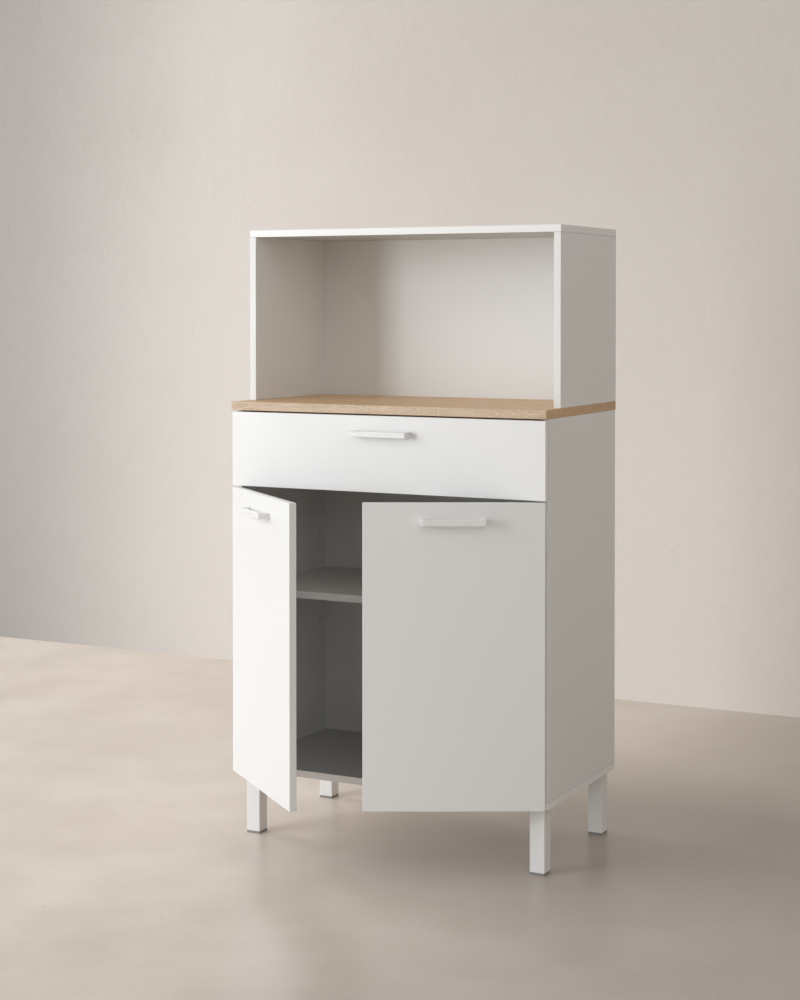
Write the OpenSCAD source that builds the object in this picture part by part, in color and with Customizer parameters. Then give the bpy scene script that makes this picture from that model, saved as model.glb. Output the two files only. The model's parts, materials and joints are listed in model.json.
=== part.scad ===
// Free-standing microwave cabinet: an open hutch on an oak worktop, above a
// base unit with one drawer, two doors ajar and four square legs.
// Millimetres, +Z up, front towards -Y. The origin is on the floor, under the
// middle of the whole cabinet with its doors ajar.

/* [Case] */
// Outside width of the cabinet
case_w = 720; // [600:1:900]
// Depth of the worktop, which is the depth of the whole case
case_d = 385; // [320:1:480]
// Thickness of the white boards
board_t = 15; // [15:1:19]
// Thickness of the oak worktop
worktop_t = 18; // [16:1:28]
// Height of the base unit's side boards
base_side_h = 753; // [620:1:910]
// Height of the hutch's side boards
hutch_side_h = 350; // [290:1:450]
// Hutch front edge behind the worktop's front edge
hutch_setback = 75; // [60:1:120]
// Thickness of the hardboard backs and the drawer bottom
back_t = 3; // [3:0.5:5]
// Solid board left behind the hutch back's groove
hutch_back_inset = 6; // [4:0.5:12]
// Depth of the grooves that hold hardboard
groove_depth = 6; // [4:0.5:8]
// Rounding along the banded edges of the case's boards
board_round = 0.8; // [0.3:0.1:2]
// Rounding along the edges of the worktop
worktop_round = 1; // [0.3:0.1:3]

/* [Fronts] */
// Thickness of the doors and the drawer front
front_t = 15; // [15:1:19]
// Rounding along their edges
front_round = 1; // [0.3:0.1:3]
// Height of the drawer front
drawer_front_h = 157; // [150:1:220]
// Gap under the worktop, between the fronts and between the doors
front_gap = 3; // [2:0.5:5]
// Side edge of a front inside the side of the case
side_reveal = 1.5; // [1:0.25:2.5]
// Lower edge of the doors above the underside of the bottom board
bottom_reveal = 1; // [0:0.5:4]
// Faces of the fronts behind the worktop's front edge
front_setback = 1; // [0:0.5:6]
// Gap between a closed front and the case
closing_gap = 2; // [1.8:0.1:4]
// How far the left door stands open
left_ajar = 40; // [0:1:90]
// How far the right door stands open
right_ajar = 27; // [0:1:90]

/* [Legs] */
// Length of the steel tube
leg_tube_h = 132; // [80:1:200]
// Side of the square tube
leg_w = 32; // [28:1:50]
// Wall of the tube
leg_wall = 1.5; // [1.2:0.1:3]
// Visible height of the plastic foot
foot_h = 5; // [3:0.5:10]
// Outer face of a leg inside the side of the case
leg_side_inset = 16; // [14:1:60]
// Front face of a front leg behind the front edge of the case
leg_front_inset = 15; // [0:1:60]
// Radius of the threaded stud on top of a leg
stud_r = 4; // [3:0.5:5]

/* [Shelf] */
// Height of the shelf's upper face above the bottom board
shelf_rise = 374; // [200:1:500]
// Shelf front edge behind the front edge of the case
shelf_setback = 14; // [5:1:80]
// Gap at each end of the shelf
shelf_gap = 1; // [0.5:0.25:2]
// Radius of the shelf pins and of their holes
shelf_pin_r = 2.5; // [2:0.25:4]
// Pitch of the rows of pin holes
hole_pitch = 32; // [25:1:40]

/* [Drawer] */
// Height of the drawer's sides
drawer_side_h = 110; // [80:1:120]
// Thickness of the drawer's sides and back
drawer_board_t = 12; // [12:1:16]
// Drawer sides above the lower edge of the drawer front
drawer_rise = 15; // [12:1:24]
// Space for a runner on each side of the drawer
runner_gap = 12.5; // [12.5:0.25:14]
// Radius of the nylon rollers
roller_r = 10; // [8:0.5:12]

/* [Hinges] */
// Radius of the hinge cups
cup_r = 17.5; // [17.5:0.5:20]
// Cup centre from the hinged edge of the door
cup_edge = 22; // [21:0.5:26]
// Depth of the cup in the door
cup_depth = 11.5; // [10:0.5:12]
// Middle of a hinge from the top or bottom edge of its door
hinge_inset = 100; // [70:1:150]
// Plate screws behind the front edge of the case
plate_inset = 37; // [34:1:45]

/* [Handles] */
// Length of a handle
handle_l = 126; // [96:1:180]
// Height of a handle's bar
handle_h = 12; // [8:1:20]
// How far a handle stands out
handle_out = 24; // [18:1:40]
// Thickness of the bar and of its two feet
handle_t = 7; // [5:0.5:12]
// Rounding along the edges of a handle
handle_round = 1.2; // [0.3:0.1:2]
// Middle of the handle below the top edge of its front
handle_drop = 37; // [20:1:80]

/* [Hidden] */
$fn = 48;
clear = 0.05;          // round fastener in its drilled hole
slack = 0.3;           // pieces that slide past each other
case_x = case_w / 2;
inner_x = case_x - board_t;
edge_x = case_x - board_t / 2;      // middle of a side board's edge

door_w = (case_w - 2 * side_reveal - front_gap) / 2;
function door_reach(ajar) = max(door_w * sin(ajar),
    (door_w + handle_l) / 2 * sin(ajar) + handle_out * cos(ajar));
reach = max(door_reach(left_ajar), door_reach(right_ajar)) - front_setback;
worktop_y = (reach - case_d) / 2;   // front edge of the worktop
back_y = worktop_y + case_d;        // rear face of everything
front_y = worktop_y + front_setback;
front_back_y = front_y + front_t;
case_y = front_back_y + closing_gap;
case_back_y = back_y - back_t;      // rear edges of the base boards
hutch_y = worktop_y + hutch_setback;
hutch_back_y = back_y - hutch_back_inset - back_t;

bottom_z = foot_h + leg_tube_h;
base_z = bottom_z + board_t;
worktop_z = base_z + base_side_h;
hutch_z = worktop_z + worktop_t;
top_z = hutch_z + hutch_side_h;
case_h = top_z + board_t;

drawer_front_z = worktop_z - front_gap - drawer_front_h;
door_z = bottom_z + bottom_reveal;
door_h = drawer_front_z - front_gap - door_z;
door_x = case_x - side_reveal;

shelf_z = base_z + shelf_rise - board_t;
pin_z = shelf_z - shelf_pin_r;
pin_rows = [case_y + plate_inset, case_back_y - 30];
pin_steps = [-3, -2, 0, 2, 3];
pin_depth = 9;
pin_collar_w = 1.5;
pin_reach = 9;         // how far a pin carries the shelf's end
shelf_back_gap = 4;

// Legs
leg_x = case_x - leg_side_inset - leg_w / 2;
leg_rows = [case_y + leg_front_inset + leg_w / 2, case_back_y - leg_w / 2];
leg_cap_t = 3;
leg_round = 1.5;
plug_wall = 2;
plug_gap = 0.2;        // plug inside its tube
stud_h = 12;
insert_r = stud_r + 2;
insert_h = 13;
plug_h = 16;

// Fasteners
dowel_r = 4;
dowel_l = 30;
dowel_in_face = 11;    // what a board's face holds of a dowel
screw_r = 3.5;
screw_l = 48;
screw_head_r = 5;
screw_head_h = 3;
cap_r = 5.5;
cap_t = 1.2;
cam_r = 7.5;
cam_t = 12;
cam_drop = 24;         // cam centre from the end of its board
cam_bolt_r = 3;
cam_bolt_in_face = 11;
nail_r = 0.8;
nail_l = 18;
nail_head_r = 1.8;
nail_head_t = 0.8;
back_margin = 2;       // base back inside the outline of the case

top_screw_rows = [hutch_y + 65, back_y - 65];
top_dowel_rows = [hutch_y + 25, back_y - 25];
base_cam_rows = [case_y + 27, case_back_y - 42];
base_dowel_rows = [case_y + 50, case_back_y - 82];
foot_screw_rows = [case_y + 60, case_back_y - 60];
foot_dowel_rows = [case_y + 90, case_back_y - 90];

// Drawer and runners, measured inwards from the side board
sheet = 1.2;
runner_step = 50;      // runners come in lengths of whole steps
runner_l = floor((case_back_y - case_y - 10) / runner_step) * runner_step;
runner_y = case_y + 2;
drawer_z = drawer_front_z + drawer_rise;
runner_z = drawer_z - 2;
roller_z = runner_z + sheet + slack + roller_r;
track_z = roller_z + roller_r + slack;
runner_h = track_z + 2 * sheet + 1 - runner_z;
roller_axle_r = 2;
axle_gap = 0.06;
roller_w = 7;
roller_in = 1.9;
lip_in = roller_in + roller_w + 0.4;
lip_h = 2;
stop_h = 4;            // tab at the rear of a case runner
ledge_w = 9;           // what a drawer runner has under its drawer side
ledge_screw_in = 4.5;
ledge_screw_l = 9;
axle_head_w = 1.4;
front_roller_y = runner_y + roller_r + 4;
rear_roller_y = runner_y + runner_l - roller_r - 4;
runner_screw_rows = [for (share = [0.2, 0.5, 0.86]) runner_y + share * runner_l];
runner_slot_shares = [0.31, 0.42, 0.62, 0.74];
slot_l = 11;
slot_w = 4.4;
drawer_x = inner_x - runner_gap;
drawer_in_x = drawer_x - drawer_board_t;
drawer_groove = 5;
drawer_groove_z = drawer_z + 9;
drawer_l = runner_l;
drawer_end_y = front_back_y + drawer_l;
drawer_back_z = drawer_groove_z + back_t;
small_cam_r = 6;
small_cam_t = 9;
small_cam_drop = 20;
drawer_cam_rows = [drawer_z + 32, drawer_z + drawer_side_h - 22];
drawer_screw_rows = [drawer_z + 35, drawer_z + drawer_side_h - 25];
drawer_screw_l = 40;
drawer_screw_r = 2;

// Hinges, measured inwards and backwards from the door's hinged front edge
hinge_rows = [hinge_inset, door_h - hinge_inset];
panel_in = board_t - side_reveal;           // inner face of the side board
panel_back = front_t + closing_gap;         // front edge of the side board
opening_limit = 90;    // how far a door opens
cup_wall = 0.8;
flange_t = 0.8;
flange_w = 14;
rim_w = 1.2;           // cup's rim beyond its boring
cup_screw_pitch = 48;
cup_screw_in = 6;      // flange's middle beyond the cup's centre
flange_end = 6;        // flange beyond its screws
arm_half = 7.5;
arm_sheet = 1.2;
arm_high = 11;         // arm's web above the side board
arm_web_y = panel_back + 9;                // front end of its web
arm_foot_y = panel_back + 14;              // and of the part that sits on the plate
arm_back = panel_back + plate_inset + 19;
side_screw_y = panel_back + 17;            // screw that shifts the door sideways
nose_r = 2;            // arm's end round its pin
// The nose clears the near edge of the cup's mouth as the door swings past it.
cup_mouth = norm([cup_edge - sqrt(pow(cup_r - cup_wall, 2) - pow(arm_half, 2)),
                  front_t + flange_t]);
nose_gap = 0.39;
link_back = front_t - 3.5;
link_in = sqrt(pow(cup_mouth + nose_gap + nose_r, 2) - pow(link_back, 2));
link_near = 12;        // link from the arm's pin to its bend
link_far = 10;         // and from its bend to its far end
link_bend = 60;
link_rise = 15;        // how far a link points out of its closed cup
link_ratio = 0.8;      // turn of a link for one turn of its door
link_r = 2;
link_t = 2;
link_hub_r = 2.5;
hinge_pin_r = 1.4;
hinge_pin_gap = 0.08;
plate_t = 1.5;
plate_w = 14;
rail_half = arm_half - arm_sheet - 0.4;    // what lies between the arm's cheeks
plate_l = 30;
hinge_screw_r = 2;
plate_screw_l = 13;
cup_screw_l = 10;
runner_screw_l = 12;

// Handles
handle_screw_r = 2;
handle_thread = 10;
handle_pitch = handle_l - handle_t - 4;

white = [0.93, 0.93, 0.92];
door_white = [0.95, 0.95, 0.94];
oak = [0.78, 0.62, 0.44];
steel = [0.72, 0.73, 0.75];
nylon = [0.86, 0.86, 0.84];
beech = [0.82, 0.66, 0.46];
dark_foot = [0.30, 0.30, 0.31];

// ---- placing helpers ----

// A piece drawn for the left side, or its mirror image on the right.
module on_side(side) {
    if (side > 0) mirror([1, 0, 0]) children();
    else children();
}

module both_sides() {
    on_side(-1) children();
    on_side(1) children();
}

// A door's own frame: the origin at the foot of its hinged front edge,
// +X towards its free edge and +Y into the case when it is closed.
module door_frame(side, ajar) {
    on_side(side) translate([-door_x, front_y, door_z]) rotate([0, 0, -ajar]) children();
}

// A block from its lowest corner to its highest.
module block(low, high) {
    translate(low) cube(high - low);
}

// A board's section: a rectangle whose lower corners are rounded, and whose
// upper ones are rounded too where the upper edge has a band.
module section(size, r, upper) {
    translate([r, 0]) square([size.x - 2 * r, size.y]);
    translate([0, r]) square([size.x, size.y - (upper ? 2 : 1) * r]);
    for (x = [r, size.x - r]) {
        translate([x, r]) circle(r);
        if (upper) translate([x, size.y - r]) circle(r);
    }
}

// An upright board, its front edge banded, from its lowest corner to its highest.
module upright_board(low, high, r) {
    size = high - low;
    translate(low) linear_extrude(size.z) section([size.x, size.y], r, false);
}

// A level board with a banded front edge.
module level_board(size, r) {
    translate([size.x, 0, 0]) rotate([0, -90, 0]) linear_extrude(size.x)
        section([size.z, size.y], r, false);
}

// A level board whose ends show and are banded too.
module capped_board(size, r) {
    intersection() {
        level_board(size, r);
        translate([0, size.y, 0]) rotate([90, 0, 0]) linear_extrude(size.y)
            section([size.x, size.z], r, true);
    }
}

// A board of the drawer box: along +Y, or along +X when turned, with the upper
// edge banded.
module edge_board(t, h, l, r) {
    translate([0, l, h]) rotate([90, 0, 0]) linear_extrude(l)
        mirror([0, 1]) section([t, h], r, false);
}

// A door or drawer front, banded all round, from its lowest corner.
module front_board(size) {
    intersection() {
        linear_extrude(size.z) section([size.x, size.y], front_round, true);
        translate([size.x, 0, 0]) rotate([0, -90, 0]) linear_extrude(size.x)
            section([size.z, size.y], front_round, true);
    }
}

// A cylinder along +X or +Y instead of +Z.
module rod_x(r, h) {
    rotate([0, 90, 0]) cylinder(r = r, h = h);
}

module rod_y(r, h) {
    rotate([-90, 0, 0]) cylinder(r = r, h = h);
}

// A rectangle with arcs at its corners, drawn from its lower left corner.
module rounded_rect(w, h, r) {
    translate([r, 0]) square([w - 2 * r, h]);
    translate([0, r]) square([w, h - 2 * r]);
    for (x = [r, w - r], y = [r, h - r]) translate([x, y]) circle(r);
}

// ---- fasteners ----

// Wooden dowel with its two ends chamfered, from its lower end.
module dowel() {
    cut = 1;
    cylinder(r1 = dowel_r - cut / 2, r2 = dowel_r, h = cut);
    translate([0, 0, cut]) cylinder(r = dowel_r, h = dowel_l - 2 * cut);
    translate([0, 0, dowel_l - cut]) cylinder(r1 = dowel_r, r2 = dowel_r - cut / 2, h = cut);
}

// Long case screw, pointing up from the underside of its head.
module case_screw(grow = 0) {
    cylinder(r = screw_head_r + grow, h = screw_head_h / 2);
    translate([0, 0, screw_head_h / 2])
        cylinder(r1 = screw_head_r + grow, r2 = screw_r + grow, h = screw_head_h / 2);
    cylinder(r = screw_r + grow, h = screw_l + grow);
}

module hex_recess(across, depth) {
    translate([0, 0, -0.01]) cylinder(d = across, h = depth, $fn = 6);
}

// Countersunk wood screw, pointing along +Z from the face it is flush with.
module wood_screw(r, l, grow = 0) {
    cylinder(r1 = 2 * r + grow, r2 = r + grow, h = r);
    cylinder(r = r + grow, h = l + grow);
}

module cross_recess(r) {
    for (turn = [0, 90]) rotate(turn)
        translate([-r, -r / 5, -0.01]) cube([2 * r, 0.4 * r, 0.6 * r]);
}

module cross_screw(r, l) {
    difference() {
        wood_screw(r, l);
        cross_recess(r);
    }
}

// Cam disc: its face at z = 0, its bolt coming in along +Y at a depth.
module cam(r, t, bolt_r, depth) {
    slot = bolt_r + 0.5;
    difference() {
        translate([0, 0, -t]) cylinder(r = r - 0.1, h = t);
        translate([-slot, -slot, -depth - slot]) cube([2 * slot, 2 * r, 2 * slot]);
        for (turn = [0, 90]) rotate(turn)
            translate([-r * 0.6, -0.6, -1.5]) cube([r * 1.2, 1.2, 2]);
    }
}

// Bolt of a cam, its ball end at the origin and its thread towards +Z.
module cam_bolt(r, l) {
    sphere(r = r);
    cylinder(r = 0.6 * r, h = r + 2);
    translate([0, 0, r + 1]) cylinder(r = r, h = l - r - 1);
}

// ---- what is drilled in the boards ----

module top_joint_holes() {
    for (x = [-edge_x, edge_x]) {
        for (y = top_screw_rows) translate([x, y, case_h]) rotate([180, 0, 0]) {
            translate([0, 0, cap_t]) case_screw(clear);
            translate([0, 0, -0.01]) cylinder(r = cap_r + clear, h = cap_t + 0.02);
        }
        for (y = top_dowel_rows)
            translate([x, y, top_z + dowel_in_face + 0.5])
                rotate([180, 0, 0]) cylinder(r = dowel_r + clear, h = dowel_l + 1);
    }
}

module worktop_joint_holes() {
    for (x = [-edge_x, edge_x]) {
        for (y = top_screw_rows) translate([x, y, worktop_z - 0.01]) case_screw(clear);
        for (y = top_dowel_rows)
            translate([x, y, hutch_z - dowel_in_face - 0.5])
                cylinder(r = dowel_r + clear, h = dowel_l + 1);
        for (y = base_dowel_rows)
            translate([x, y, worktop_z + dowel_in_face + 0.5])
                rotate([180, 0, 0]) cylinder(r = dowel_r + clear, h = dowel_l + 1);
        for (y = base_cam_rows)
            translate([x, y, worktop_z - cam_drop])
                cylinder(r = cam_bolt_r + clear, h = cam_drop + cam_bolt_in_face);
    }
}

module bottom_joint_holes() {
    for (x = [-edge_x, edge_x]) {
        for (y = foot_screw_rows) translate([x, y, bottom_z - 0.01]) case_screw(clear);
        for (y = foot_dowel_rows)
            translate([x, y, base_z - dowel_in_face - 0.5])
                cylinder(r = dowel_r + clear, h = dowel_l + 1);
    }
}

// ---- hutch and worktop ----

module worktop() {
    color(oak) difference() {
        translate([-case_x, worktop_y, worktop_z])
            capped_board([case_w, case_d, worktop_t], worktop_round);
        worktop_joint_holes();
    }
}

module hutch_side(side) {
    color(white) on_side(side) difference() {
        upright_board([-case_x, hutch_y, hutch_z], [-inner_x, back_y, top_z], board_round);
        block([-inner_x - groove_depth, hutch_back_y - 0.2, hutch_z - 1],
              [-inner_x + 1, hutch_back_y + back_t + 0.2, top_z + 1]);
        top_joint_holes();
        worktop_joint_holes();
    }
}

module hutch_top() {
    color(white) difference() {
        translate([-case_x, hutch_y, top_z])
            capped_board([case_w, case_d - hutch_setback, board_t], board_round);
        block([-inner_x - groove_depth, hutch_back_y - 0.2, top_z - 1],
              [inner_x + groove_depth, hutch_back_y + back_t + 0.2, top_z + groove_depth]);
        top_joint_holes();
    }
}

module hutch_back() {
    half = inner_x + groove_depth - 1;
    color(white) block([-half, hutch_back_y, hutch_z],
                       [half, hutch_back_y + back_t, top_z + groove_depth - 1]);
}

// ---- base unit ----

module base_side(side) {
    color(white) on_side(side) difference() {
        upright_board([-case_x, case_y, base_z], [-inner_x, case_back_y, worktop_z],
                      board_round);
        worktop_joint_holes();
        bottom_joint_holes();
        for (y = pin_rows, step = pin_steps)
            translate([-inner_x - pin_depth, y, pin_z + step * hole_pitch])
                rod_x(shelf_pin_r, pin_depth + 1);
        nail_places() nail(clear);
        for (y = base_cam_rows)
            translate([-inner_x - cam_t - 0.5, y, worktop_z - cam_drop]) rod_x(cam_r, cam_t + 1);
        runner_screw_places() wood_screw(hinge_screw_r, runner_screw_l, clear);
        plate_screw_places() wood_screw(hinge_screw_r, plate_screw_l, clear);
    }
}

module base_bottom() {
    color(white) difference() {
        translate([-case_x, case_y, bottom_z])
            capped_board([case_w, case_back_y - case_y, board_t], board_round);
        bottom_joint_holes();
        nail_places() nail(clear);
        for (x = [-leg_x, leg_x], y = leg_rows)
            translate([x, y, bottom_z - 1]) cylinder(r = insert_r + clear, h = insert_h + 1.5);
    }
}

module nail_places() {
    half = case_x - board_t / 2;
    span = worktop_z - bottom_z;
    for (x = [-half, half], share = [0.08, 0.29, 0.5, 0.71, 0.92])
        translate([x, back_y, bottom_z + share * span]) children();
    for (share = [-0.6, 0, 0.6])
        translate([share * half, back_y, bottom_z + board_t / 2]) children();
}

// Panel nail, its head flush with y = 0 and its point towards -Y.
module nail(grow = 0) {
    rotate([90, 0, 0]) {
        cylinder(r = nail_r + grow, h = nail_l + grow);
        cylinder(r = nail_head_r + grow, h = nail_head_t);
    }
}

module base_back() {
    color(white) difference() {
        block([-case_x + back_margin, case_back_y, bottom_z + back_margin],
              [case_x - back_margin, back_y, worktop_z - 0.5]);
        nail_places() nail(clear);
    }
}

module shelf() {
    half = inner_x - shelf_gap;
    front = case_y + shelf_setback;
    color(white) translate([-half, front, shelf_z])
        level_board([2 * half, case_back_y - shelf_back_gap - front, board_t], board_round);
}

// Steel shelf pin: a stub in its hole, a collar against the board and a rod that
// carries the shelf.
module shelf_pins() {
    collar_t = min(shelf_gap - 0.2, 1);
    color(steel) both_sides() for (y = pin_rows)
        translate([-inner_x - pin_depth + 0.5, y, pin_z]) {
            rod_x(shelf_pin_r - clear, pin_depth - 0.5);
            translate([pin_depth - 0.5, 0, 0]) {
                rod_x(shelf_pin_r + pin_collar_w, collar_t);
                rod_x(shelf_pin_r, pin_reach);
            }
        }
}

// ---- legs ----

module leg(side, row) {
    color(white) on_side(side) translate([-leg_x, leg_rows[row], foot_h]) {
        difference() {
            linear_extrude(leg_tube_h) translate([-leg_w / 2, -leg_w / 2])
                rounded_rect(leg_w, leg_w, leg_round);
            translate([0, 0, -1]) linear_extrude(leg_tube_h - leg_cap_t + 1)
                translate([leg_wall - leg_w / 2, leg_wall - leg_w / 2])
                    square(leg_w - 2 * leg_wall);
        }
        translate([0, 0, leg_tube_h - 1]) cylinder(r = stud_r, h = stud_h + 1);
    }
}

// Plastic foot: a plate under the tube and a hollow plug pushed up inside it.
module leg_feet() {
    inside = leg_w - 2 * (leg_wall + plug_gap);
    color(dark_foot) for (x = [-leg_x, leg_x], y = leg_rows) translate([x, y, 0]) difference() {
        union() {
            linear_extrude(foot_h) translate([-leg_w / 2, -leg_w / 2])
                rounded_rect(leg_w, leg_w, leg_round);
            translate([-inside / 2, -inside / 2, foot_h - 1]) cube([inside, inside, plug_h + 1]);
        }
        translate([plug_wall - inside / 2, plug_wall - inside / 2, foot_h + 1])
            cube([inside - 2 * plug_wall, inside - 2 * plug_wall, plug_h + 1]);
    }
}

module leg_inserts() {
    color(steel) for (x = [-leg_x, leg_x], y = leg_rows)
        translate([x, y, bottom_z]) difference() {
            cylinder(r = insert_r, h = insert_h);
            translate([0, 0, -1]) cylinder(r = stud_r + clear, h = insert_h + 2);
        }
}

// ---- drawer runners ----

// Channel on the side board: a slotted web, a lower track with a lip, an upper
// flange, and a tab that closes the track at its rear end.
module case_runner(side) {
    color(nylon) on_side(side) translate([-inner_x, runner_y, runner_z]) {
        difference() {
            rotate([-90, 0, 0]) mirror([0, 1, 0]) linear_extrude(runner_l) {
                square([sheet, runner_h]);
                square([lip_in + sheet, sheet]);
                translate([lip_in, 0]) square([sheet, sheet + lip_h]);
                translate([0, runner_h - sheet]) square([lip_in + sheet, sheet]);
            }
            translate([inner_x, -runner_y, -runner_z])
                runner_screw_places() wood_screw(hinge_screw_r, runner_screw_l, clear);
            for (share = runner_slot_shares)
                translate([-1, share * runner_l - slot_l / 2, roller_z - runner_z - slot_w / 2])
                    rotate([90, 0, 90]) linear_extrude(sheet + 2)
                        rounded_rect(slot_l, slot_w, slot_w / 2 - 0.2);
        }
        translate([sheet / 2, front_roller_y - runner_y, roller_z - runner_z]) {
            rod_x(roller_axle_r, lip_in);
            translate([lip_in - sheet / 2, 0, 0]) rod_x(roller_axle_r + axle_head_w, 1);
        }
        translate([sheet / 2, runner_l - sheet, sheet / 2]) cube([lip_in, sheet, stop_h]);
    }
}

// Angle under the drawer side, with a track that rides on the case roller.
module drawer_runner(side) {
    web_in = runner_gap - sheet;
    ledge_z = drawer_z - runner_z - sheet;
    color(nylon) on_side(side) translate([-inner_x, front_back_y + 1, runner_z]) {
        difference() {
            rotate([-90, 0, 0]) mirror([0, 1, 0]) linear_extrude(runner_l - 2) {
                translate([web_in, ledge_z]) square([sheet, track_z - runner_z - ledge_z + sheet]);
                translate([web_in, ledge_z]) square([sheet + ledge_w, sheet]);
                translate([2.5, track_z - runner_z]) square([web_in - 2.4, sheet]);
            }
            translate([inner_x, -front_back_y - 1, -runner_z])
                drawer_runner_screw_places() wood_screw(hinge_screw_r, ledge_screw_l, clear);
        }
        translate([roller_in + 0.2, rear_roller_y - front_back_y - 1, roller_z - runner_z])
            rod_x(roller_axle_r, web_in + sheet / 2 - roller_in);
    }
}

// Nylon roller, dished on its inner side round its hub.
module roller() {
    difference() {
        rod_x(roller_r, roller_w);
        translate([-1, 0, 0]) rod_x(roller_axle_r + axle_gap, roller_w + 2);
        translate([roller_w - 0.8, 0, 0]) difference() {
            rod_x(roller_r - 1.6, 2);
            translate([-1, 0, 0]) rod_x(roller_axle_r + 1.6, 4);
        }
    }
}

module case_rollers() {
    color(nylon) both_sides() translate([roller_in - inner_x, front_roller_y, roller_z]) roller();
}

module drawer_rollers() {
    color(nylon) both_sides() translate([roller_in - inner_x, rear_roller_y, roller_z]) roller();
}

module runner_screw_places() {
    for (y = runner_screw_rows)
        translate([sheet - inner_x, y, roller_z]) rotate([0, -90, 0]) children();
}

module drawer_runner_screw_places() {
    for (y = runner_screw_rows) if (y < drawer_end_y - 30)
        translate([-drawer_x + ledge_screw_in, y, drawer_z - sheet]) children();
}

module runner_screws() {
    color(steel) both_sides() runner_screw_places() cross_screw(hinge_screw_r, runner_screw_l);
}

module drawer_runner_screws() {
    color(steel) both_sides() drawer_runner_screw_places()
        cross_screw(hinge_screw_r, ledge_screw_l);
}

// ---- drawer ----

module drawer_screw_holes() {
    for (z = drawer_screw_rows)
        translate([-drawer_x - 0.01, drawer_end_y - drawer_board_t / 2, z]) rotate([0, 90, 0])
            wood_screw(drawer_screw_r, drawer_screw_l, clear);
}

module drawer_cam_holes() {
    for (z = drawer_cam_rows) {
        translate([-drawer_in_x - small_cam_t - 0.3, front_back_y + small_cam_drop, z])
            rod_x(small_cam_r, small_cam_t + 1);
        translate([-drawer_in_x - small_cam_t / 2, front_back_y - 8.5, z])
            rod_y(cam_bolt_r + clear, small_cam_drop + 9);
    }
}

module drawer_bottom_groove() {
    half = drawer_in_x + drawer_groove;
    block([-half, front_back_y - drawer_groove, drawer_groove_z],
          [half, drawer_end_y + 1, drawer_groove_z + back_t + 0.2]);
}

module drawer_side(side) {
    color(white) on_side(side) difference() {
        translate([-drawer_x, front_back_y, drawer_z])
            edge_board(drawer_board_t, drawer_side_h, drawer_l, board_round);
        drawer_bottom_groove();
        drawer_cam_holes();
        drawer_screw_holes();
        drawer_runner_screw_places() wood_screw(hinge_screw_r, ledge_screw_l, clear);
    }
}

module drawer_back() {
    color(white) difference() {
        translate([-drawer_in_x, drawer_end_y, drawer_back_z]) rotate(-90)
            edge_board(drawer_board_t, drawer_z + drawer_side_h - drawer_back_z,
                       2 * drawer_in_x, board_round);
        both_sides() drawer_screw_holes();
    }
}

module drawer_bottom() {
    half = drawer_in_x + drawer_groove - 0.5;
    color(white) block([-half, front_back_y - drawer_groove + 0.5, drawer_groove_z],
                       [half, drawer_end_y, drawer_groove_z + back_t]);
}

module drawer_front() {
    color(door_white) difference() {
        translate([-door_x, front_y, drawer_front_z])
            front_board([2 * door_x, front_t, drawer_front_h]);
        block([-drawer_in_x - drawer_groove, front_back_y - drawer_groove, drawer_groove_z],
              [drawer_in_x + drawer_groove, front_back_y + 1, drawer_groove_z + back_t + 0.2]);
        both_sides() drawer_cam_holes();
        translate([0, front_y, drawer_front_z + drawer_front_h - handle_drop])
            handle_holes();
    }
}

module drawer_cams() {
    color(steel) both_sides() for (z = drawer_cam_rows)
        translate([-drawer_in_x, front_back_y + small_cam_drop, z])
            rotate([0, 90, 0]) rotate([0, 0, 180])
                cam(small_cam_r, small_cam_t, cam_bolt_r, small_cam_t / 2);
}

module drawer_cam_bolts() {
    color(steel) both_sides() for (z = drawer_cam_rows)
        translate([-drawer_in_x - small_cam_t / 2, front_back_y + small_cam_drop, z])
            rotate([90, 0, 0]) cam_bolt(cam_bolt_r, small_cam_drop + 8);
}

module drawer_back_screws() {
    color(steel) both_sides() for (z = drawer_screw_rows)
        translate([-drawer_x, drawer_end_y - drawer_board_t / 2, z]) rotate([0, 90, 0])
            cross_screw(drawer_screw_r, drawer_screw_l);
}

// ---- handles: drawn on a front face at y = 0, about their own middle ----

module handle() {
    color(white) translate([-handle_l / 2, -handle_out, -handle_h / 2]) difference() {
        intersection() {
            linear_extrude(handle_h) difference() {
                section([handle_l, handle_out], handle_round, false);
                translate([handle_t, handle_t])
                    rounded_rect(handle_l - 2 * handle_t, handle_out, handle_round);
            }
            level_board([handle_l, handle_out, handle_h], handle_round);
        }
        for (x = [handle_l - handle_pitch, handle_l + handle_pitch] / 2)
            translate([x, handle_out - handle_thread, handle_h / 2])
                rod_y(handle_screw_r, handle_thread + 1);
    }
}

module handle_holes() {
    for (x = [-handle_pitch / 2, handle_pitch / 2])
        translate([x, -1, 0]) rod_y(handle_screw_r + 0.2, front_t + 2);
}

module handle_screws() {
    color(steel) for (x = [-handle_pitch / 2, handle_pitch / 2]) translate([x, 1 - handle_thread, 0]) {
        rod_y(handle_screw_r - clear, handle_thread - 1 + front_t);
        translate([0, handle_thread - 1 + front_t, 0]) difference() {
            rod_y(handle_screw_r + 2, 1.8);
            translate([0, 1.81, 0]) rotate([90, 0, 0]) cross_recess(2);
        }
    }
}

module drawer_handle_place() {
    translate([0, front_y, drawer_front_z + drawer_front_h - handle_drop]) children();
}

module door_handle_place() {
    translate([door_w / 2, 0, door_h - handle_drop]) children();
}

// ---- doors and their hinges ----

module cup_screw_places() {
    for (z = hinge_rows, offset = [-cup_screw_pitch / 2, cup_screw_pitch / 2])
        translate([cup_edge + cup_screw_in, front_t + flange_t, z + offset]) rotate([90, 0, 0]) children();
}

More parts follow.
